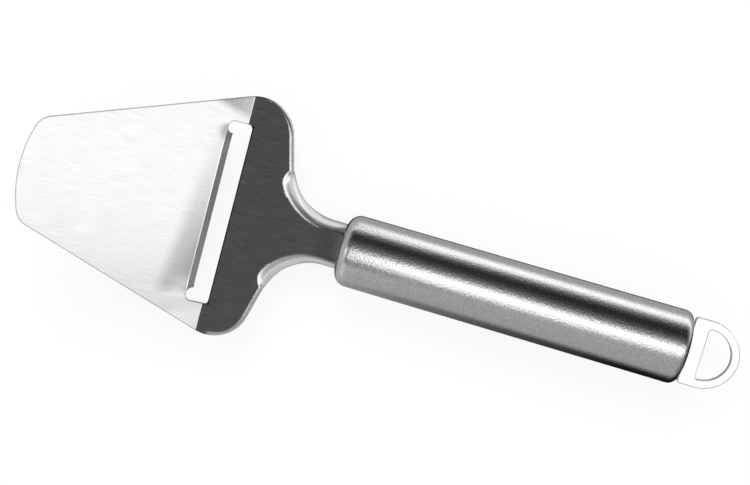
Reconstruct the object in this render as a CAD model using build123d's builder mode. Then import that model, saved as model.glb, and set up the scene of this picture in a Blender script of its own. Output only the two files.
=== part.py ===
from build123d import *
import os
from math import cos, radians, sin, sqrt, tan

# Cheese slicer: a stamped and pressed blade whose flanged neck is welded into a hollow round handle,
# with a flat hanging loop at the handle's rear end. Millimetres.
# +X runs from the paddle's tip to the hanging loop and +Z is the top side of the blade.
# The origin lies below the middle of the object, level with the handle's lowest line.

# Handle: a tube drawn closed at its front end, with a pressed cap welded into its rear end
tube_diameter = 23.0
tube_wall = 0.7
handle_length = 109.1
front_rounding = 3.9
rear_rounding = 2.8
cap_land = 1.2
cap_skirt = 3.0
cap_end_wall = 1.2
fit_gap = 0.05
weld_gap = 0.1

# Blade sheet: flat plate behind the slot, paddle in front of it, bent up towards the top side
sheet = 1.2
plate_rise = 3.0
bend_reach = 38.7
bend_angle = 24.0
bend_radius = 1.5

# Paddle outline, measured on the flat sheet from the bend line
paddle_length = 63.5
paddle_taper = 20.5
tip_radius = 43.0
tip_corner_radius = 6.0

# Shoulders and neck, in plan
blade_half_width = 39.0
shoulder_radius = 12.2
shoulder_setback = 3.2
shoulder_slant = 15.0
neck_half_width = 7.45
neck_radius = 16.0

# Rim: the rear edge of the shoulders, turned down. It starts flat beside the bend.
# The bearings are measured round the shoulder's centre, from the handle's direction.
rim_band = 1.3
rim_bend_radius = 1.4
rim_turn = 60.0
rim_start_bearing = 95.0
rim_full_bearing = 55.0

# Flange: the rim swells out at the start of the neck's curve and turns into the neck's deep flange.
# The shares are parts of the neck's curve.
swell_band = 4.5
swell_bend_radius = 4.8
swell_share = 0.2
flange_band = 3.5
flange_bend_radius = 2.8
flange_turn = 78.0
flange_formed_share = 0.8
patch_band = 5.2
flat_handle_share = 0.75
start_handle_share = 0.1
wall_handle_share = 0.6

# Neck inside the handle: the channel stops behind the end wall and a flat tang goes on
neck_insert = 2.2
tang_length = 24.0

# Slicing slot and its pressed cutting lip
slot_offset = 1.7
slot_half_length = 29.5
slot_corner_radius = 1.5
notch_radius = 2.0
notch_reach = 3.8
lip_start = 13.3
lip_edge = 3.6
bevel_width = 2.1
press_depth = 1.0
press_fade = 7.0
edge_land = 0.12

# Core that holds the tang inside the tube
plug_length = 17.0
plug_setback = 0.3

# Hanging loop
loop_thickness = 1.8
loop_standoff = 0.6
loop_radius = 10.5
loop_straight = 5.3
loop_corner_radius = 1.0
hole_setback = 4.8
hole_radius = 7.9
hole_centre_offset = 0.6
hole_corner_radius = 1.0
loop_tang_width = 12.4
loop_tang_length = 9.0
loop_edge_chamfer = 0.25

# One overrun serves every cutting tool and every stock that is trimmed
overrun = 6.0

# Derived places along the object
tube_radius = tube_diameter / 2
bend_cos = cos(radians(bend_angle))
bend_sin = sin(radians(bend_angle))
blade_reach = bend_reach + paddle_length * bend_cos + sheet * bend_sin
handle_reach = handle_length + loop_standoff + loop_straight + loop_radius
front_x = (blade_reach - handle_reach) / 2
rear_x = front_x + handle_length
bend_x = front_x - bend_reach
slot_x = bend_x + slot_offset
axis_z = tube_radius
plate_z = axis_z + plate_rise
handle_axis = Axis((0, 0, axis_z), (1, 0, 0))

# The paddle's plane: its X runs from the bend line to the tip and its Z is the top side.
# The mitre plane halves the bend, with its Z towards the flat plate.
paddle_plane = Plane(
    origin=(bend_x, 0, plate_z), x_dir=(-bend_cos, 0, bend_sin), z_dir=(bend_sin, 0, bend_cos)
)
half_bend = radians(bend_angle / 2)
mitre_plane = Plane(origin=(bend_x, 0, plate_z), z_dir=(cos(half_bend), 0, -sin(half_bend)))

# Centres of the round shoulders and of the hollow neck curves
shoulder_x = bend_x + shoulder_setback
shoulder_y = blade_half_width - shoulder_radius
slant_cos = cos(radians(shoulder_slant))
slant_sin = sin(radians(shoulder_slant))
neck_y = neck_half_width + neck_radius
neck_run = (shoulder_radius + neck_radius + (shoulder_y - neck_y) * slant_sin) / slant_cos
neck_x = shoulder_x + neck_run

# Paddle's straight side, as its distance from a point on the sheet
taper_cos = cos(radians(paddle_taper))
taper_sin = sin(radians(paddle_taper))
side_reach = shoulder_radius * taper_sin - shoulder_setback
side_half_width = shoulder_y + shoulder_radius * taper_cos


def ring_point(centre, radius, across, along):
    """Point at a radius from a centre, in the direction (across, along)."""
    return (centre[0] + radius * across, centre[1] + radius * along)


def turned_outline(band, bend, turn, depth):
    """Control points of a turned edge, as (distance in from the outline, height).

    band is the edge's width in plan, bend its radius on the top side, turn how far it is turned
    down in degrees, and depth the distance below the top surface.
    """
    turn_cos = cos(radians(turn))
    turn_sin = sin(radians(turn))
    half_tan = tan(radians(turn) / 2)
    flat_run = (bend - depth) * half_tan
    wall_run = (band - bend * half_tan) / turn_cos - depth * half_tan
    end = (band - flat_run - wall_run * turn_cos, -depth - wall_run * turn_sin)
    flat_handle = flat_run * flat_handle_share + band * start_handle_share
    wall_handle = wall_run * wall_handle_share
    return [
        (band, -depth),
        (band - flat_handle, -depth),
        (end[0] + wall_handle * turn_cos, end[1] + wall_handle * turn_sin),
        end,
    ]


def smooth(share):
    """Smooth step from 0 to 1."""
    held = min(max(share, 0), 1)
    return held * held * (3 - 2 * held)


# Blade outline: one upright prism for the flat plate and one square to the paddle, mitred.
# The plate stops at the patches that carry the rim and the flange.
shoulder = (shoulder_x, shoulder_y)
neck = (neck_x, neck_y)
rim_start_cos = cos(radians(rim_start_bearing))
rim_start_sin = sin(radians(rim_start_bearing))
rim_patch_radius = shoulder_radius - patch_band
rim_start = ring_point(shoulder, shoulder_radius, rim_start_cos, rim_start_sin)
rim_patch_start = ring_point(shoulder, rim_patch_radius, rim_start_cos, rim_start_sin)
rim_patch_end = ring_point(shoulder, rim_patch_radius, slant_cos, slant_sin)
patch_radius = neck_radius + patch_band
patch_start = ring_point(neck, patch_radius, -slant_cos, -slant_sin)
patch_end = (neck_x, neck_y - patch_radius)
with BuildPart() as plate_prism:
    with BuildSketch(Plane.XY.offset(plate_z)):
        with BuildLine():
            side_end = (bend_x - side_reach, side_half_width)
            edge_sweep = 90 + paddle_taper - rim_start_bearing
            rim_sweep = rim_start_bearing - shoulder_slant
            Line((side_end[0], 0), side_end)
            CenterArc(shoulder, shoulder_radius, rim_start_bearing, edge_sweep)
            Line(rim_start, rim_patch_start)
            CenterArc(shoulder, rim_patch_radius, shoulder_slant, rim_sweep)
            Line(rim_patch_end, patch_start)
            CenterArc(neck, patch_radius, 180 + shoulder_slant, 90 - shoulder_slant)
            Line(patch_end, (neck_x, 0))
            mirror(about=Plane.XZ)
        make_face()
    extrude(amount=overrun, both=True)
    split(bisect_by=mitre_plane, keep=Keep.TOP)

tip_centre = paddle_length - tip_radius
side_distance = side_reach * taper_sin + side_half_width * taper_cos - tip_centre * taper_sin
side_run = sqrt(tip_radius**2 - side_distance**2)
tip_corner = (
    tip_centre + side_distance * taper_sin + side_run * taper_cos,
    side_distance * taper_cos - side_run * taper_sin,
)
with BuildPart() as paddle_prism:
    with BuildSketch(paddle_plane) as paddle_outline:
        with BuildLine():
            shoulder_start = (-shoulder_setback, shoulder_y + shoulder_radius)
            Line((-shoulder_setback, 0), shoulder_start)
            CenterArc((-shoulder_setback, shoulder_y), shoulder_radius, 90 - paddle_taper, paddle_taper)
            Line((side_reach, side_half_width), tip_corner)
            mirror(about=Plane.XZ)
            ThreePointArc(tip_corner, (paddle_length, 0), (tip_corner[0], -tip_corner[1]))
        make_face()
        fillet(paddle_outline.vertices().group_by(Axis.X)[-1], tip_corner_radius)
    extrude(amount=overrun, both=True)
    split(bisect_by=mitre_plane, keep=Keep.BOTTOM)

# Tool for the slicing slot: the plate's part is upright, the paddle's part is square to it.
# A round relief notch at each end frees the cutting lip.
slot_lap = notch_radius / 2
with BuildPart() as slot_tool:
    with BuildSketch(Plane.XY.offset(plate_z)) as slot_rear:
        with Locations(((slot_x + bend_x - slot_lap) / 2, 0)):
            Rectangle(slot_x - bend_x + slot_lap, 2 * slot_half_length)
        fillet(slot_rear.vertices().group_by(Axis.X)[-1], slot_corner_radius)
    extrude(amount=overrun, both=True)
    with BuildSketch(paddle_plane):
        with Locations(((lip_edge - slot_lap) / 2, 0)):
            Rectangle(lip_edge + slot_lap, 2 * slot_half_length)
        with Locations((notch_reach, notch_radius - slot_half_length)):
            Circle(notch_radius)
        with Locations((notch_reach, slot_half_length - notch_radius)):
            Circle(notch_radius)
    extrude(amount=overrun, both=True)


# The cutting lip is pressed down along a parabola that fades out towards both ends of the slot
bevel_start = lip_edge + bevel_width
press_rate = press_depth / (lip_start - bevel_start) ** 2
lip_stock_end = lip_edge - slot_lap
lip_spans = 24
lip_stations = [slot_half_length * (2 * step / lip_spans - 1) for step in range(lip_spans + 1)]


def press_share(station):
    """Share of the full press depth at a distance from the blade's centre line."""
    return smooth((slot_half_length - abs(station)) / press_fade)


def pressed(reach, station):
    """Drop of the pressed surface at a reach from the bend line."""
    return press_share(station) * press_rate * (lip_start - reach) ** 2


def paddle_section(station):
    """Plane across the paddle: its X is the reach from the bend line, its Y the top side."""
    origin = paddle_plane.from_local_coords((0, -station, 0))
    return Plane(origin=origin, x_dir=paddle_plane.x_dir, z_dir=(0, 1, 0))


with BuildPart() as lip_form:
    for station in lip_stations:
        with BuildSketch(paddle_section(station)):
            with BuildLine():
                middle = (lip_start + lip_stock_end) / 2
                drop = pressed(lip_stock_end, station)
                Line((lip_start, -sheet), (lip_start, 0))
                Bezier((lip_start, 0), (middle, 0), (lip_stock_end, -drop))
                Line((lip_stock_end, -drop), (lip_stock_end, -drop - sheet))
                Bezier((lip_stock_end, -drop - sheet), (middle, -sheet), (lip_start, -sheet))
            make_face()
    loft()

# Tool that grinds the lip's top side down to the cutting edge. It runs out past the lip on both sides.
grind_run_out = bevel_width / 2
with BuildPart() as bevel_tool:
    for station in lip_stations[1:-1]:
        with BuildSketch(paddle_section(station)):
            with BuildLine():
                top = -pressed(bevel_start, station)
                edge = -pressed(lip_edge, station) - sheet + edge_land
                slope = (top - edge) / bevel_width
                high = top + slope * grind_run_out
                low = edge - slope * (lip_edge - lip_stock_end)
                Polyline(
                    (bevel_start + grind_run_out, high), (lip_stock_end, low), (lip_stock_end, high),
                    close=True,
                )
            make_face()
    loft()

# Turned edge: the rim round the shoulder and down its slant, then the flange round the neck's curve
rim_spans = 4
flange_spans = 5
patch_stock_band = patch_band + flange_band / 2
slant_length = neck_run * slant_sin + (shoulder_y - neck_y) * slant_cos


def edge_plane(centre, radius, bearing):
    """Upright plane across an edge: its X leads in from the outline and its Y is the top side."""
    across = cos(radians(bearing))
    along = sin(radians(bearing))
    return Plane(
        origin=ring_point(centre, radius, across, along) + (plate_z,),
        x_dir=(-across, -along, 0),
        z_dir=(-along, across, 0),
    )


def edge_section(band, bend, turn, reach):
    """Closed outline of a turned edge, with its flat part as far in as reach."""
    top = turned_outline(band, bend, turn, 0)
    bottom = turned_outline(band, bend, turn, sheet)
    with BuildLine() as outline:
        Line((reach, 0), top[0])
        Bezier(*top)
        Line(top[3], bottom[3])
        Bezier(*reversed(bottom))
        Line(bottom[0], (reach, -sheet))
        Line((reach, -sheet), (reach, 0))
    return outline.edges()


def between(first, last, share):
    """Value at a share of the way from first to last, with a smooth start and end."""
    return first + (last - first) * smooth(share)


def flange_shape(share):
    """Width in plan, bend radius and turn of the flange at a share of the neck's curve."""
    turn = between(rim_turn, flange_turn, share / flange_formed_share)
    if share < swell_share:
        swelled = share / swell_share
        band = between(rim_band, swell_band, swelled)
        return (band, between(rim_bend_radius, swell_bend_radius, swelled), turn)
    formed = (share - swell_share) / (flange_formed_share - swell_share)
    band = between(swell_band, flange_band, formed)
    return (band, between(swell_bend_radius, flange_bend_radius, formed), turn)


with BuildPart() as rim_patch:
    for step in range(rim_spans + 1):
        bearing = rim_start_bearing + (shoulder_slant - rim_start_bearing) * step / rim_spans
        turned = (rim_start_bearing - bearing) / (rim_start_bearing - rim_full_bearing)
        with BuildSketch(edge_plane(shoulder, shoulder_radius, bearing)):
            turn = between(0, rim_turn, turned)
            make_face(edge_section(rim_band, rim_bend_radius, turn, patch_stock_band))
    loft()
    with BuildSketch(Plane.XY.offset(plate_z)):
        with Locations(shoulder):
            Circle(rim_patch_radius)
    extrude(amount=2 * overrun, both=True, mode=Mode.SUBTRACT)

with BuildPart() as slant_patch:
    with BuildSketch(edge_plane(neck, -neck_radius, shoulder_slant)):
        make_face(edge_section(rim_band, rim_bend_radius, rim_turn, patch_band))
    extrude(amount=slant_length)

with BuildPart() as flange_patch:
    for step in range(flange_spans + 1):
        share = step / flange_spans
        bearing = shoulder_slant + (90 - shoulder_slant) * share
        with BuildSketch(edge_plane(neck, -neck_radius, bearing)):
            make_face(edge_section(*flange_shape(share), patch_stock_band))
    loft()
    with BuildSketch(Plane.XY.offset(plate_z)):
        with Locations(neck):
            Circle(patch_radius)
    extrude(amount=2 * overrun, both=True, mode=Mode.INTERSECT)


def channel_section(grow):
    """Closed outline of the neck's section, as (y, height), with its faces moved out by grow."""
    shape = (flange_band, flange_bend_radius, flange_turn)
    top = [(neck_half_width - reach, height) for reach, height in turned_outline(*shape, -grow)]
    under = turned_outline(*shape, sheet + grow)
    bottom = [(neck_half_width - reach, height) for reach, height in under]
    turn_cos = cos(radians(flange_turn))
    turn_sin = sin(radians(flange_turn))
    top_end = (top[3][0] + grow * turn_cos, top[3][1] - grow * turn_sin)
    bottom_end = (bottom[3][0] + grow * turn_cos, bottom[3][1] - grow * turn_sin)
    with BuildLine() as outline:
        Line((0, grow), top[0])
        Bezier(*top)
        if grow > 0:
            Line(top[3], top_end)
        Line(top_end, bottom_end)
        if grow > 0:
            Line(bottom_end, bottom[3])
        Bezier(*reversed(bottom))
        Line(bottom[0], (0, -sheet - grow))
        mirror(about=Plane.YZ)
    return outline.edges()


def section_plane(place):
    """Plane across the handle: its X is the object's Y, its Y the object's Z."""
    return Plane(origin=(place, 0, plate_z), x_dir=(0, 1, 0), z_dir=(1, 0, 0))


# Blade: bent sheet trimmed to its outline, with lip, slot, bevel, turned edges, neck and tang
tang_start = front_x + neck_insert
tang_width = 2 * (neck_half_width - flange_band)
with BuildPart() as blade:
    with BuildSketch(Plane.XZ) as bent_strip:
        with BuildLine():
            strip_end = paddle_length + overrun
            tip_top = (bend_x - strip_end * bend_cos, plate_z + strip_end * bend_sin)
            under_x = bend_x - sheet * tan(half_bend)
            Polyline(
                (neck_x, plate_z),
                (bend_x, plate_z),
                tip_top,
                (tip_top[0] - sheet * bend_sin, tip_top[1] - sheet * bend_cos),
                (under_x, plate_z - sheet),
                (neck_x, plate_z - sheet),
                close=True,
            )
        make_face()
        fillet(bent_strip.vertices().sort_by_distance((bend_x, plate_z))[0], bend_radius)
        under_corner = bent_strip.vertices().sort_by_distance((under_x, plate_z - sheet))[0]
        fillet(under_corner, bend_radius + sheet)
    extrude(amount=blade_half_width + overrun, both=True)
    add(plate_prism.part + paddle_prism.part, mode=Mode.INTERSECT)
    with BuildSketch(paddle_plane):
        with Locations(((lip_start + lip_stock_end) / 2, 0)):
            Rectangle(lip_start - lip_stock_end, 2 * slot_half_length)
    extrude(amount=overrun, both=True, mode=Mode.SUBTRACT)
    add(lip_form.part)
    add(slot_tool.part, mode=Mode.SUBTRACT)
    add(bevel_tool.part, mode=Mode.SUBTRACT)
    for patch in (rim_patch, slant_patch, flange_patch):
        add(patch.part)
        add(mirror(patch.part, about=Plane.XZ, mode=Mode.PRIVATE))
    with BuildSketch(section_plane(neck_x)):
        make_face(channel_section(0))
    extrude(amount=tang_start - neck_x)
    with BuildSketch(section_plane(tang_start)):
        with Locations((0, -sheet / 2)):
            Rectangle(tang_width, sheet)
    extrude(amount=tang_length - neck_insert)
blade.part.label = "blade"


# Handle shell: one round wall that closes at the front, with a slit for the neck.
# Drawing the tube closed thickens its corner, so the inside has a cone there.
top_z = axis_z + tube_radius
shell_end = rear_x - rear_rounding - cap_land
front_centre = (front_x + front_rounding, top_z - front_rounding)
with BuildPart() as handle_shell:
    with BuildSketch(Plane.XZ):
        with BuildLine():
            CenterArc(front_centre, front_rounding, 90, 90)
            Polyline(
                (front_centre[0], top_z),
                (shell_end, top_z),
                (shell_end, top_z - tube_wall),
                (front_centre[0], top_z - tube_wall),
                (front_x + tube_wall, front_centre[1]),
                (front_x + tube_wall, axis_z),
                (front_x, axis_z),
                (front_x, front_centre[1]),
            )
        make_face()
    revolve(axis=handle_axis)
    with BuildSketch(section_plane(front_x)):
        make_face(channel_section(weld_gap))
    extrude(amount=tube_wall + overrun, both=True, mode=Mode.SUBTRACT)
handle_shell.part.label = "handle_shell"

# Rear cap: a pressed cup whose skirt plugs into the shell, with a slit for the loop's tang
skirt_radius = tube_radius - tube_wall - fit_gap
cap_bore_radius = skirt_radius - tube_wall
rear_centre = (rear_x - rear_rounding, top_z - rear_rounding)
with BuildPart() as rear_cap:
    with BuildSketch(Plane.XZ):
        with BuildLine():
            CenterArc(rear_centre, rear_rounding, 0, 90)
            Polyline(
                (rear_centre[0], top_z),
                (shell_end, top_z),
                (shell_end, axis_z + skirt_radius),
                (shell_end - cap_skirt, axis_z + skirt_radius),
                (shell_end - cap_skirt, axis_z + cap_bore_radius),
                (rear_x - cap_end_wall, axis_z + cap_bore_radius),
                (rear_x - cap_end_wall, axis_z),
                (rear_x, axis_z),
                (rear_x, rear_centre[1]),
            )
        make_face()
    revolve(axis=handle_axis)
    with BuildSketch(Plane.YZ.offset(rear_x)):
        with Locations((0, axis_z)):
            Rectangle(loop_tang_width + 2 * weld_gap, loop_thickness + 2 * weld_gap)
    extrude(amount=cap_end_wall + overrun, both=True, mode=Mode.SUBTRACT)
rear_cap.part.label = "rear_cap"

# Core that fills the shell round the flat tang
plug_start = front_centre[0] + plug_setback
with BuildPart() as tang_plug:
    with BuildSketch(Plane.YZ.offset(plug_start)):
        with Locations((0, axis_z)):
            Circle(skirt_radius)
        with Locations((0, plate_z - sheet / 2)):
            Rectangle(tang_width + 2 * fit_gap, sheet + 2 * fit_gap, mode=Mode.SUBTRACT)
    extrude(amount=plug_length)
tang_plug.part.label = "tang_plug"

# Hanging loop: a flat plate with a D-shaped hole and a tang through the rear cap
loop_x = rear_x + loop_standoff
loop_centre_x = loop_x + loop_straight
hole_x = loop_x + hole_setback
hole_centre_x = hole_x + hole_centre_offset
hole_half_height = sqrt(hole_radius**2 - hole_centre_offset**2)
with BuildPart() as hanging_loop:
    with BuildSketch(Plane.XY.offset(axis_z)) as loop_outline:
        with BuildLine():
            Polyline((loop_centre_x, -loop_radius), (loop_x, -loop_radius), (loop_x, loop_radius))
            Line((loop_x, loop_radius), (loop_centre_x, loop_radius))
            CenterArc((loop_centre_x, 0), loop_radius, -90, 180)
        make_face()
        fillet(loop_outline.vertices().group_by(Axis.X)[0], loop_corner_radius)
        with BuildSketch(mode=Mode.SUBTRACT) as d_hole:
            with BuildLine():
                Line((hole_x, -hole_half_height), (hole_x, hole_half_height))
                hole_end = (hole_centre_x + hole_radius, 0)
                ThreePointArc((hole_x, hole_half_height), hole_end, (hole_x, -hole_half_height))
            make_face()
            fillet(d_hole.vertices(), hole_corner_radius)
    extrude(amount=loop_thickness / 2, both=True)
    outline_edges = hanging_loop.edges().filter_by(Plane.XY)
    chamfer(outline_edges, loop_edge_chamfer)
    with BuildSketch(Plane.XY.offset(axis_z)):
        with Locations((loop_x - loop_tang_length / 2 + loop_corner_radius / 2, 0)):
            Rectangle(loop_tang_length + loop_corner_radius, loop_tang_width)
    extrude(amount=loop_thickness / 2, both=True)
hanging_loop.part.label = "hanging_loop"

os.makedirs("parts", exist_ok=True)
for piece in (blade, handle_shell, tang_plug, rear_cap, hanging_loop):
    export_step(piece.part, f"parts/{piece.part.label}.step")
    size = piece.part.bounding_box().size
    print(f"{piece.part.label}: {size.X:.2f} x {size.Y:.2f} x {size.Z:.2f} mm")
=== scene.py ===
from math import cos, degrees, radians, sin

import bpy
from mathutils import Euler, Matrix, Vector


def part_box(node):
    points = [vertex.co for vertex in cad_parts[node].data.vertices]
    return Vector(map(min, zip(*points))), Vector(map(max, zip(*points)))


# Cheese slicer on a white studio table. Metres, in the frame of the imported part:
# +X runs from the paddle's tip to the hanging loop, +Z is the blade's top side, the table is at z = 0.
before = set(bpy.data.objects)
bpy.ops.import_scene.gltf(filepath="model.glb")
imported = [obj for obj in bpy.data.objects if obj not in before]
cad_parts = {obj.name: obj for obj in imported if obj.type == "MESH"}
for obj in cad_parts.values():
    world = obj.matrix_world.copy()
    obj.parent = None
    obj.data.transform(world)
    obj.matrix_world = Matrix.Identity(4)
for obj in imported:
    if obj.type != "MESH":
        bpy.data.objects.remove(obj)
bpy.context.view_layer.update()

# Camera at the photograph's viewing angle. Its turn is in degrees, its sensor and lens in millimetres.
CAMERA_PLACE = (0.03385, 0.04488, 0.33619)
CAMERA_TURN = (-4.968, 8.393, 15.521)
CAMERA_NEAR = 0.01
SENSOR_WIDTH = 36.0
FOCAL_LENGTH = 50.4

# Places on the object that the finishes follow
BEND_REACH = 0.0387
BEND_ANGLE = radians(24)
PLATE_RISE = 0.003
FRONT_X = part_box("handle_shell")[0].x
PLATE_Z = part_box("handle_shell")[1].z / 2 + PLATE_RISE
BEND_X = FRONT_X - BEND_REACH
SLOT_OFFSET = 0.0017
SLOT_HALF_LENGTH = 0.0295
SLOT_REAR_X = BEND_X + SLOT_OFFSET
NOTCH_RADIUS = 0.002
BEVEL_START = 0.0035
BEVEL_END = 0.0058
NECK_HALF_WIDTH = 0.00745
NECK_RADIUS = 0.016
NECK_SETBACK = 0.0054
NECK_CENTRE = (FRONT_X - NECK_SETBACK, NECK_HALF_WIDTH + NECK_RADIUS)

# Table: white to the camera, so that only its shadows show
TABLE_SIZE = 6.0
TABLE_WHITE = (0.93, 0.93, 0.93, 1)
TABLE_GLOW_SHARE = 0.88
CARD_DROP = 0.0005

# Soft light
SKY_LEVEL = 0.78
KEY_PLACE = (-0.15, 0.75, 0.9)
KEY_SIZE = 0.5
KEY_POWER = 7.0

# Light tent: a half-round wall along the handle that only the steel's reflections see.
# Its bands are (degrees from straight up towards +Y, light level).
TENT_RADIUS = 0.62
TENT_HALF_LENGTH = 1.6
TENT_HALF_TURN = 92
TENT_STEPS = 64
TENT_BANDS = (
    (-92, 0.37), (-32, 0.39), (-24, 0.42), (-18, 0.80), (-13, 1.38), (6, 1.38), (11, 0.82), (17, 0.32),
    (24, 0.15), (34, 0.05), (44, 0.02), (56, 0.012), (64, 0.045), (72, 0.13), (79, 0.36), (86, 0.85),
    (92, 1.25),
)

# Low on the -Y side beyond the blade the tent has one even level, and its upper and +Y part is brighter
# towards -X. Sides are x values and turns are degrees, each from where a change starts to where it ends.
TENT_BLADE_SIDE = (-0.21, -0.16)
TENT_BLADE_TURN = (-40, -20)
TENT_BLADE_LEVEL = 0.7
TENT_FRONT_SIDE = (0.09, -0.03)
TENT_FRONT_TURN = (-28, -18)
TENT_FRONT_GAIN = 0.22

# Dark card over the blade's flat plate
FLAG_HEIGHT = 0.26
FLAG_X = (-0.15, -0.0465)
FLAG_Y = (-0.20, 0.17)
FLAG_LEVEL = 0.09

# Upright cards that both ends of the handle see, as (x, height, light level)
END_CARD_HALF_WIDTH = 0.6
FRONT_CARD = (-0.45, 0.5, 0.42)
REAR_CARD = (0.45, 0.2, 0.2)

# What the steel sees of the table: levels across it, darkest next to the handle as painted shade, the
# strip of painted shade beside the handle on the -Y side, how much of that strip shows along the handle,
# and how white it is round the blade
TABLE_LEVELS = ((0.0, 0.02), (0.0145, 0.02), (0.017, 0.38), (0.030, 0.38), (0.046, 0.55), (0.075, 1.25))
STRIP_FAR_LEVEL = 0.38
STRIP_LEVELS = (
    (-0.30, STRIP_FAR_LEVEL), (-0.15, 0.27), (-0.085, 0.14), (-0.050, 0.025), (-0.036, 0.008),
    (-0.012, 0.008),
)
STRIP_SHARES = ((-0.020, 0.05), (0.010, 0.55), (0.040, 0.82), (0.080, 1.0))
BLADE_SIDE = (-0.034, -0.014)
BLADE_SIDE_LEVEL = 0.45
NECK_SHADE = (0.010, 0.022)
NECK_SHADE_LEVEL = 0.03

# A colour mix node's sockets: share, first and second colour, and the result
MIX_INPUTS = (0, 6, 7)
MIX_OUTPUT = 2

# Steps of detail in a noise, and samples of a rounded edge
NOISE_DETAIL = 3.0
BEVEL_SAMPLES = 6


class Tree:
    """Node tree of a new material, with short ways to add and link its nodes."""

    def __init__(self, name):
        self.material = bpy.data.materials.new(name)
        self.material.use_nodes = True
        self.nodes = self.material.node_tree.nodes
        self.nodes.clear()
        self.output = self.nodes.new("ShaderNodeOutputMaterial")

    def feed(self, socket, value):
        """Links a socket to another node's socket, or gives it a plain value."""
        if isinstance(value, bpy.types.NodeSocket):
            self.material.node_tree.links.new(value, socket)
        else:
            socket.default_value = value

    def add(self, kind, inputs=None, **settings):
        """Adds a node with its settings and inputs."""
        node = self.nodes.new(kind)
        for name, value in settings.items():
            setattr(node, name, value)
        for name, value in (inputs or {}).items():
            self.feed(node.inputs[name], value)
        return node

    def math(self, operation, *values):
        """Result of a math node."""
        node = self.add("ShaderNodeMath", dict(enumerate(values)), operation=operation)
        return node.outputs[0]

    def product(self, first, *others):
        """Product of several values."""
        for other in others:
            first = self.math("MULTIPLY", first, other)
        return first

    def step(self, value, low, high):
        """Smooth step of a value, from 0 at low to 1 at high."""
        inputs = {"Value": value, "From Min": low, "From Max": high}
        return self.add("ShaderNodeMapRange", inputs, interpolation_type="SMOOTHSTEP").outputs["Result"]

    def graph(self, value, stops):
        """Level of a value on a line through (place, level) stops."""
        low, high = stops[0][0], stops[-1][0]
        share = self.add("ShaderNodeMapRange", {"Value": value, "From Min": low, "From Max": high})
        ramp = self.add("ShaderNodeValToRGB", {"Fac": share.outputs["Result"]})
        elements = ramp.color_ramp.elements
        elements.remove(elements[-1])
        for number, (place, level) in enumerate(stops):
            element = elements[0] if number == 0 else elements.new((place - low) / (high - low))
            element.position = (place - low) / (high - low)
            element.color = grey(level)
        return ramp.outputs["Color"]

    def mix(self, share, first, second):
        """Mix of two greys."""
        node = self.add("ShaderNodeMix", data_type="RGBA")
        for number, value in zip(MIX_INPUTS, (share, first, second)):
            self.feed(node.inputs[number], value)
        return node.outputs[MIX_OUTPUT]

    def parts(self, vector):
        """X, Y and Z of a vector."""
        return self.add("ShaderNodeSeparateXYZ", {"Vector": vector}).outputs

    def place(self):
        """X, Y and Z of the shaded point in the object's frame."""
        return self.parts(self.add("ShaderNodeTexCoord").outputs["Object"])

    def face_normal(self):
        """Normal of the shaded face."""
        return self.add("ShaderNodeNewGeometry").outputs["Normal"]

    def rounded_normal(self, radius):
        """Normal with the sharp edges rounded."""
        return self.add("ShaderNodeBevel", {"Radius": radius}, samples=BEVEL_SAMPLES).outputs["Normal"]

    def noise(self, x, y, z, detail=NOISE_DETAIL):
        """Noise at a point given in cells."""
        point = self.add("ShaderNodeCombineXYZ", {"X": x, "Y": y, "Z": z}).outputs["Vector"]
        inputs = {"Vector": point, "Scale": 1.0, "Detail": detail}
        return self.add("ShaderNodeTexNoise", inputs).outputs["Fac"]

    def glow(self, color, strength=1.0):
        """Emission shader."""
        return self.add("ShaderNodeEmission", {"Color": color, "Strength": strength}).outputs["Emission"]

    def finish(self, shader):
        """Ends the tree with its shader and hands over the material."""
        self.feed(self.output.inputs["Surface"], shader)
        return self.material


def grey(level):
    """Grey as a colour."""
    return (level, level, level, 1)


def link_object(obj):
    """Puts an object into the scene."""
    bpy.context.scene.collection.objects.link(obj)
    return obj


def mesh_object(name, points, faces, material):
    """Mesh object from points and faces, with its material."""
    mesh = bpy.data.meshes.new(name)
    mesh.from_pydata(points, [], faces)
    mesh.materials.append(material)
    return link_object(bpy.data.objects.new(name, mesh))


def flat_card(name, xs, ys, z, material):
    """Level rectangle between two x and two y values."""
    points = [(xs[0], ys[0], z), (xs[1], ys[0], z), (xs[1], ys[1], z), (xs[0], ys[1], z)]
    return mesh_object(name, points, [(0, 1, 2, 3)], material)


def reflections_only(card):
    """Keeps a card of the stage out of everything but reflections."""
    card.visible_camera = False
    card.visible_diffuse = False
    card.visible_shadow = False
    card.visible_transmission = False


def make_camera():
    """Camera at the photograph's place, angle and focal length."""
    data = bpy.data.cameras.new("camera")
    data.sensor_fit = "HORIZONTAL"
    data.sensor_width = SENSOR_WIDTH
    data.lens = FOCAL_LENGTH
    data.clip_start = CAMERA_NEAR
    camera = link_object(bpy.data.objects.new("camera", data))
    camera.location = CAMERA_PLACE
    camera.rotation_euler = Euler([radians(turn) for turn in CAMERA_TURN], "XYZ")
    bpy.context.scene.camera = camera


def table_material():
    """White table. To the camera it glows a little, so that its lit part is plain white."""
    tree = Tree("table_white")
    diffuse = tree.add("ShaderNodeBsdfDiffuse", {"Color": TABLE_WHITE}).outputs["BSDF"]
    seen = tree.add("ShaderNodeLightPath").outputs["Is Camera Ray"]
    share = tree.product(seen, TABLE_GLOW_SHARE)
    mixed = tree.add("ShaderNodeMixShader", {0: share, 1: diffuse, 2: tree.glow(grey(1.0))})
    return tree.finish(mixed.outputs["Shader"])


def make_table():
    """Table that carries the slicer. Reflections see the card below it instead."""
    half = TABLE_SIZE / 2
    table = flat_card("table", (-half, half), (-half, half), 0, table_material())
    table.visible_glossy = False


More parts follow.
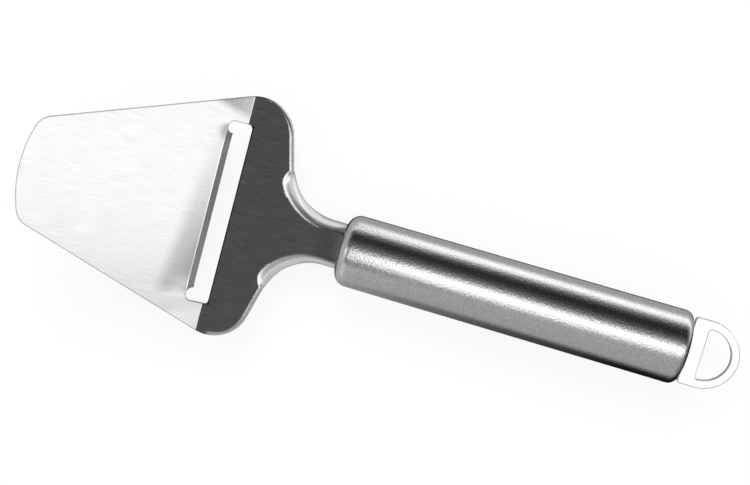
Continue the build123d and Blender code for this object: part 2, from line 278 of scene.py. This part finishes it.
def table_card_material():
    """Levels of the table as the steel sees them."""
    tree = Tree("table_card_levels")
    x, y, _ = tree.place()
    base = tree.graph(y, TABLE_LEVELS)
    # Painted shade strip beside the handle, as the steel sees it
    strip = tree.mix(tree.graph(x, STRIP_SHARES), grey(STRIP_FAR_LEVEL), tree.graph(y, STRIP_LEVELS))
    beside_handle = tree.mix(tree.math("LESS_THAN", y, 0.0), base, strip)
    from_axis = tree.step(tree.math("ABSOLUTE", y), *NECK_SHADE)
    beside_blade = tree.mix(from_axis, grey(NECK_SHADE_LEVEL), grey(BLADE_SIDE_LEVEL))
    return tree.finish(tree.glow(tree.mix(tree.step(x, *BLADE_SIDE), beside_blade, beside_handle)))


def make_table_card():
    """Card under the table that gives the steel its lower reflections."""
    half = TABLE_SIZE / 2
    card = flat_card("table_card", (-half, half), (-half, half), -CARD_DROP, table_card_material())
    reflections_only(card)


def tent_material():
    """Bands of light along the tent."""
    tree = Tree("tent_bands")
    x, y, z = tree.place()
    turn = tree.product(tree.math("ARCTAN2", y, z), degrees(1))
    past_blade = tree.math("MAXIMUM", tree.step(x, *TENT_BLADE_SIDE), tree.step(turn, *TENT_BLADE_TURN))
    level = tree.mix(past_blade, grey(TENT_BLADE_LEVEL), tree.graph(turn, TENT_BANDS))
    at_front = tree.product(tree.step(x, *TENT_FRONT_SIDE), tree.step(turn, *TENT_FRONT_TURN))
    strength = tree.math("ADD", tree.product(at_front, TENT_FRONT_GAIN), 1.0)
    return tree.finish(tree.glow(level, strength))


def make_tent():
    """Half-round light tent over the table, along the handle."""
    points, faces = [], []
    for step in range(TENT_STEPS + 1):
        turn = radians(TENT_HALF_TURN * (2 * step / TENT_STEPS - 1))
        for x in (-TENT_HALF_LENGTH, TENT_HALF_LENGTH):
            points.append((x, TENT_RADIUS * sin(turn), TENT_RADIUS * cos(turn)))
    for step in range(TENT_STEPS):
        first = 2 * step
        faces.append((first, first + 1, first + 3, first + 2))
    reflections_only(mesh_object("light_tent", points, faces, tent_material()))


def even_glow(name, level):
    """Material that glows evenly."""
    tree = Tree(name)
    return tree.finish(tree.glow(grey(level)))


def make_flag():
    """Dark card over the blade, which darkens the flat plate and the neck."""
    reflections_only(flat_card("flag", FLAG_X, FLAG_Y, FLAG_HEIGHT, even_glow("flag_dark", FLAG_LEVEL)))


def make_end_card(name, x, height, level):
    """Upright grey card beyond one end of the slicer, which shades that end's roundings."""
    half = END_CARD_HALF_WIDTH
    points = [(x, -half, 0), (x, half, 0), (x, half, height), (x, -half, height)]
    reflections_only(mesh_object(name, points, [(0, 1, 2, 3)], even_glow(name + "_grey", level)))


def make_key():
    """Soft key light from the +Y side."""
    data = bpy.data.lights.new("key", "AREA")
    data.shape = "DISK"
    data.size = KEY_SIZE
    data.energy = KEY_POWER
    key = link_object(bpy.data.objects.new("key", data))
    key.location = KEY_PLACE
    key.rotation_euler = (-Vector(KEY_PLACE)).to_track_quat("-Z", "Y").to_euler()
    key.visible_glossy = False


def make_world():
    """Plain pale world that lights softly and is white to the camera."""
    world = bpy.data.worlds.new("studio")
    world.use_nodes = True
    nodes, links = world.node_tree.nodes, world.node_tree.links
    background = nodes["Background"]
    background.inputs["Color"].default_value = grey(1)
    seen = nodes.new("ShaderNodeLightPath").outputs["Is Camera Ray"]
    strength = nodes.new("ShaderNodeMapRange")
    strength.inputs["To Min"].default_value = SKY_LEVEL
    links.new(seen, strength.inputs["Value"])
    links.new(strength.outputs["Result"], background.inputs["Strength"])
    bpy.context.scene.world = world
    bpy.context.scene.view_settings.view_transform = "Standard"


# Finishes. Grain and speckle are in cells per metre, tones are (noise, grey) stops, and places are metres.
# A pair of places or turns goes from where a smooth change starts to where it is complete.
SPECKLE = 1900
# Grey of the painted shade: edge lines, the slot's rear line, the neck and the handle's ends
PAINTED_SHADE_GREY = 0.02
BUMP_DEPTH = 0.00015

# Edges: the rounding that catches light, and the lines of painted shade that are drawn along them
EDGE_ROUNDING = 0.00012
NECK_ROUNDING = 0.0008
NECK_ROUNDING_SIDE = (-0.046, -0.043)
EDGE_LINE = 0.0008
EDGE_SHADE_TURN = (0.03, 0.12)
EDGE_SHADE_SHARE = 0.85

# Blade: few cells along the grain and many across it
GRAIN_LONG = 150
GRAIN_FINE = 2300
GRAIN_DETAIL = 4.0
COARSE_SHARE = 0.15
COARSE_LONG = GRAIN_LONG / 3
COARSE_FINE = GRAIN_FINE / 5
BLADE_TONES = ((0.3, 0.58), (0.5, 0.71), (0.7, 0.83))
BLADE_ROUGHNESS = 0.14
BLADE_SPREAD = 0.8
BLADE_BUMP = 0.04

# Paddle: paler and more satin than the flat plate, which it leaves at the bend
BEND_BLEND = (0.0, 0.0002)
PADDLE_GREY = 0.79
PADDLE_SHARE = 0.5
PADDLE_SATIN = 0.3

# Rubbed patches beside the slot's ends, partly painted light: painted shade on the +Y side, a painted
# highlight on the other
PATCH_SLOPE = 0.32
PATCH_BLEND = (0.0, 0.004)
PATCH_STRENGTH = 0.44
PATCH_STRENGTH_RISE = 34.0
PATCH_SPECKLE_ACROSS = SPECKLE * 1.5
PATCH_SPECKLE_LEVELS = ((0.35, 0.75), (0.65, 1.25))
PATCH_HIGHLIGHT = 1.0
PATCH_SHADE = 0.1

# Soft shade beside the lip, deeper and wider towards its -Y end
SHADE_DEPTH_SIDE = (0.034, -0.024)
SHADE_END = (0.0300, 0.0255)
SHADE_SLANT = 0.13
SHADE_REACH = (0.0142, 0.0088)
SHADE_SHARE = 0.42
SHADE_GREY = 0.1

# Cutting lip: the ground bevel, the painted highlight on the crest beside it, and the line of painted
# shade at the slot's rear side
BEVEL_FACING = 0.7
BEVEL_HALF_REACH = 0.0013
BEVEL_GREY = 0.5
BEVEL_ROUGHNESS = 0.38
CREST_OFFSET = 0.00015
CREST_HALF_WIDTH = 0.00012
CREST_HIGHLIGHT_GREY = 0.95
SLOT_SHADE_LINE = 0.0002

# Neck: painted shade darkens it towards the handle
NECK_PAINTED_SHADE_SIDE = (-0.026, -0.0145)
NECK_PAINTED_SHADE_SHARE = 0.55

# Turned rim and flange: satin with a pale painted sheen, and told from the plate by how far they fall
# below it
TURNED_FALL = (0.00002, 0.0008)
TURNED_FACING = (0.1, 0.3)
TURNED_REACH = (-0.001, -0.002)
TURNED_SHEEN_GREY = 0.85
TURNED_SATIN = 0.6

# Swell by the neck: on the +Y side painted shade darkens its inner part along the neck's curve
SWELL_SIDE = (-0.0345, -0.0275)
SWELL_BAND = (0.0170, 0.0180)
SWELL_SHADE_GREY = 0.13

# Handle: satin speckle, a little longer round the handle than along it, and painted shade where it faces
# along x
HANDLE_SPECKLE_ROUND = SPECKLE * 0.8
HANDLE_DETAIL = 2.0
HANDLE_TONES = ((0.38, 0.72), (0.62, 0.90))
HANDLE_ROUGHNESS = 0.22
HANDLE_SPREAD = 0.65
HANDLE_BUMP = 0.38
END_FACING = (0.62, 0.82)
END_SHADE_SHARE = 0.85

# Hanging loop and core
COARSE_SPECKLE = SPECKLE / 4
LOOP_TONES = ((0.3, 0.90), (0.7, 0.95))
LOOP_EDGE_SHADE_SHARE = 0.5
LOOP_ROUGHNESS = 0.16
LOOP_BUMP = 0.02
LOOP_METALLIC = 0.6
CORE_TONES = ((0.3, 0.06), (0.7, 0.09))
CORE_ROUGHNESS = 0.5


def steel(tree, tone, roughness, axis, spread, height, bump, metallic=1.0, rounding=EDGE_ROUNDING):
    """Metal shader with rounded edges, whose highlights are drawn out along an axis."""
    inputs = {
        "Strength": bump,
        "Distance": BUMP_DEPTH,
        "Height": height,
        "Normal": tree.rounded_normal(rounding),
    }
    normal = tree.add("ShaderNodeBump", inputs).outputs["Normal"]
    inputs = {
        "Base Color": tone,
        "Roughness": roughness,
        "Metallic": metallic,
        "Anisotropic": spread,
        "Tangent": tree.add("ShaderNodeCombineXYZ", {axis: 1.0}).outputs["Vector"],
        "Normal": normal,
    }
    return tree.add("ShaderNodeBsdfPrincipled", inputs).outputs["BSDF"]


def painted_edge_shade(tree, tone, share):
    """Tone with thin lines of painted shade along the sharp edges."""
    inputs = {0: tree.rounded_normal(EDGE_LINE), 1: tree.face_normal()}
    same = tree.add("ShaderNodeVectorMath", inputs, operation="DOT_PRODUCT").outputs["Value"]
    # Painted shade line where the rounded normal turns away from the face
    line = tree.product(tree.step(tree.math("SUBTRACT", 1.0, same), *EDGE_SHADE_TURN), share)
    return tree.mix(line, tone, grey(PAINTED_SHADE_GREY))


def paddle_reach(tree, x, z):
    """Distance from the bend line along the paddle, below zero on the flat plate."""
    along = tree.product(tree.math("SUBTRACT", BEND_X, x), cos(BEND_ANGLE))
    up = tree.product(tree.math("SUBTRACT", z, PLATE_Z), sin(BEND_ANGLE))
    return tree.math("ADD", along, up)


def blade_grain(tree, x, y):
    """Streaks along the blade: fine ones, with a share of coarse ones."""
    streaks = tree.noise(tree.product(x, GRAIN_LONG), tree.product(y, GRAIN_FINE), 0.0, GRAIN_DETAIL)
    coarse = tree.noise(tree.product(x, COARSE_LONG), tree.product(y, COARSE_FINE), 0.0)
    return tree.math("ADD", tree.product(streaks, 1 - COARSE_SHARE), tree.product(coarse, COARSE_SHARE))


def bevel_mask(tree, reach, beside_slot):
    """1 on the lip's ground bevel."""
    facing = tree.math("GREATER_THAN", tree.parts(tree.face_normal())["X"], BEVEL_FACING)
    near = tree.math("COMPARE", reach, (BEVEL_START + BEVEL_END) / 2, BEVEL_HALF_REACH)
    return tree.product(facing, beside_slot, near)


def wear_and_painted_light_patches(tree, tone, x, y, width, reach, on_paddle):
    """Tone with rubbed patches on the paddle beside the slot's ends, painted as shade on the +Y side and
    as a highlight on the other.
    """
    edge = tree.math("ADD", tree.product(reach, PATCH_SLOPE), SLOT_HALF_LENGTH)
    past_edge = tree.step(tree.math("SUBTRACT", width, edge), *PATCH_BLEND)
    strength = tree.math("ADD", PATCH_STRENGTH, tree.product(reach, PATCH_STRENGTH_RISE))
    speckle = tree.noise(tree.product(x, SPECKLE), tree.product(y, PATCH_SPECKLE_ACROSS), 0.0)
    patch_share = tree.product(past_edge, on_paddle, strength, tree.graph(speckle, PATCH_SPECKLE_LEVELS))
    # Painted shade on the +Y side, painted highlight on the other
    worn_shade_and_highlight = tree.mix(tree.math("GREATER_THAN", y, 0.0), grey(PATCH_HIGHLIGHT), grey(PATCH_SHADE))
    return tree.mix(patch_share, tone, worn_shade_and_highlight)


def lip_shade(tree, tone, y, width, reach, on_paddle):
    """Tone with the soft shade that the pressed lip shows."""
    lower = tree.product(tree.step(y, *SHADE_DEPTH_SIDE), tree.step(width, *SHADE_END))
    slanted = tree.math("ADD", reach, tree.product(y, SHADE_SLANT))
    beside_lip = tree.product(tree.step(slanted, *SHADE_REACH), on_paddle)
    return tree.mix(tree.product(lower, beside_lip, SHADE_SHARE), tone, grey(SHADE_GREY))


def slot_edges(tree, tone, x, width, reach, beside_slot):
    """Tone with a painted highlight on the lip's crest and a line of painted shade at the slot's rear
    side.
    """
    on_lip = tree.math("LESS_THAN", width, SLOT_HALF_LENGTH - NOTCH_RADIUS)
    near_crest = tree.math("COMPARE", reach, BEVEL_END + CREST_OFFSET, CREST_HALF_WIDTH)
    # Painted highlight along the lip's crest
    tone = tree.mix(tree.product(near_crest, on_lip), tone, grey(CREST_HIGHLIGHT_GREY))
    # Painted shade line at the slot's rear side
    near_rear = tree.math("COMPARE", x, SLOT_REAR_X + SLOT_SHADE_LINE, SLOT_SHADE_LINE)
    line = tree.product(near_rear, beside_slot)
    return tree.mix(line, painted_edge_shade(tree, tone, EDGE_SHADE_SHARE), grey(PAINTED_SHADE_GREY))


def turned_mask(tree, z, reach):
    """1 on the turned rim and flange, which fall below the plate."""
    fall = tree.math("ABSOLUTE", tree.math("SUBTRACT", z, PLATE_Z))
    facing = tree.parts(tree.rounded_normal(EDGE_LINE))["Z"]
    turned = tree.product(tree.step(fall, *TURNED_FALL), tree.step(facing, *TURNED_FACING))
    return tree.product(turned, tree.step(reach, *TURNED_REACH))


def turned_tone(tree, x, y, width):
    """Tone of the turned rim and flange, a pale painted sheen, with painted shade on the inner part of one
    swell.
    """
    along = tree.math("POWER", tree.math("SUBTRACT", x, NECK_CENTRE[0]), 2.0)
    across = tree.math("POWER", tree.math("SUBTRACT", NECK_CENTRE[1], width), 2.0)
    distance = tree.math("SQRT", tree.math("ADD", along, across))
    # Painted shade on the swell's inner part
    inner = tree.product(tree.step(distance, *SWELL_BAND), tree.step(x, *SWELL_SIDE))
    inner = tree.product(inner, tree.math("GREATER_THAN", y, 0.0))
    return tree.mix(inner, grey(TURNED_SHEEN_GREY), grey(SWELL_SHADE_GREY))


def blade_steel():
    """Blade ground lengthwise, with its bevel, rubbed patches with painted shade and highlight, lip shade,
    painted shade on the edges and neck, and turned edges with a painted sheen.
    """
    tree = Tree("blade_steel")
    x, y, z = tree.place()
    width = tree.math("ABSOLUTE", y)
    reach = paddle_reach(tree, x, z)
    on_paddle = tree.step(reach, *BEND_BLEND)
    beside_slot = tree.math("LESS_THAN", width, SLOT_HALF_LENGTH)
    bevel = bevel_mask(tree, reach, beside_slot)
    turned = turned_mask(tree, z, reach)

    grain = blade_grain(tree, x, y)
    tone = tree.graph(grain, BLADE_TONES)
    tone = tree.mix(tree.product(on_paddle, PADDLE_SHARE), tone, grey(PADDLE_GREY))
    # Rubbed patches with painted shade and highlight
    tone = wear_and_painted_light_patches(tree, tone, x, y, width, reach, on_paddle)
    tone = lip_shade(tree, tone, y, width, reach, on_paddle)
    tone = slot_edges(tree, tone, x, width, reach, beside_slot)
    tone = tree.mix(bevel, tone, grey(BEVEL_GREY))
    # Painted shade on the neck towards the handle
    shade_near_handle = tree.product(tree.step(x, *NECK_PAINTED_SHADE_SIDE), NECK_PAINTED_SHADE_SHARE)
    tone = tree.mix(shade_near_handle, tone, grey(PAINTED_SHADE_GREY))
    # Turned rim and flange in their pale painted sheen
    tone = tree.mix(turned, tone, turned_tone(tree, x, y, width))

    roughness = tree.mix(bevel, grey(BLADE_ROUGHNESS), grey(BEVEL_ROUGHNESS))
    satin = tree.math("ADD", tree.product(turned, TURNED_SATIN), tree.product(on_paddle, PADDLE_SATIN))
    metallic = tree.math("SUBTRACT", 1.0, satin)
    by_neck = tree.product(tree.step(x, *NECK_ROUNDING_SIDE), NECK_ROUNDING - EDGE_ROUNDING)
    rounding = tree.math("ADD", by_neck, EDGE_ROUNDING)
    shader = steel(tree, tone, roughness, "Y", BLADE_SPREAD, grain, BLADE_BUMP, metallic, rounding)
    return tree.finish(shader)


def handle_steel(name):
    """Satin steel ground round the handle."""
    tree = Tree(name)
    x, y, z = tree.place()
    cells = [tree.product(side, HANDLE_SPECKLE_ROUND) for side in (y, z)]
    grain = tree.noise(tree.product(x, SPECKLE), *cells, HANDLE_DETAIL)
    facing = tree.math("ABSOLUTE", tree.parts(tree.face_normal())["X"])
    # Painted shade on the end roundings, where the surface faces along x
    shade_at_end = tree.product(tree.step(facing, *END_FACING), END_SHADE_SHARE)
    tone = tree.mix(shade_at_end, tree.graph(grain, HANDLE_TONES), grey(PAINTED_SHADE_GREY))
    return tree.finish(steel(tree, tone, HANDLE_ROUGHNESS, "X", HANDLE_SPREAD, grain, HANDLE_BUMP))


def coarse_speckle(tree):
    """Coarse noise with the same cells in every direction."""
    return tree.noise(*[tree.product(side, COARSE_SPECKLE) for side in tree.place()])


def loop_steel():
    """Polished hanging loop."""
    tree = Tree("loop_steel")
    speckle = coarse_speckle(tree)
    # Painted shade lines along the loop's sharp edges
    tone = painted_edge_shade(tree, tree.graph(speckle, LOOP_TONES), LOOP_EDGE_SHADE_SHARE)
    return tree.finish(steel(tree, tone, LOOP_ROUGHNESS, "X", 0.0, speckle, LOOP_BUMP, LOOP_METALLIC))


def core_plastic():
    """Dark moulded core inside the handle."""
    tree = Tree("core_plastic")
    inputs = {"Base Color": tree.graph(coarse_speckle(tree), CORE_TONES), "Roughness": CORE_ROUGHNESS}
    return tree.finish(tree.add("ShaderNodeBsdfPrincipled", inputs).outputs["BSDF"])


def dress(node, material):
    """Gives a CAD node its finish."""
    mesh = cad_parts[node].data
    mesh.materials.clear()
    mesh.materials.append(material)


make_camera()
make_table()
make_table_card()
make_tent()
make_flag()
make_end_card("front_card", *FRONT_CARD)
make_end_card("rear_card", *REAR_CARD)
make_key()
make_world()
dress("blade", blade_steel())
dress("handle_shell", handle_steel("handle_steel"))
dress("rear_cap", handle_steel("rear_cap_steel"))
dress("hanging_loop", loop_steel())
dress("tang_plug", core_plastic())
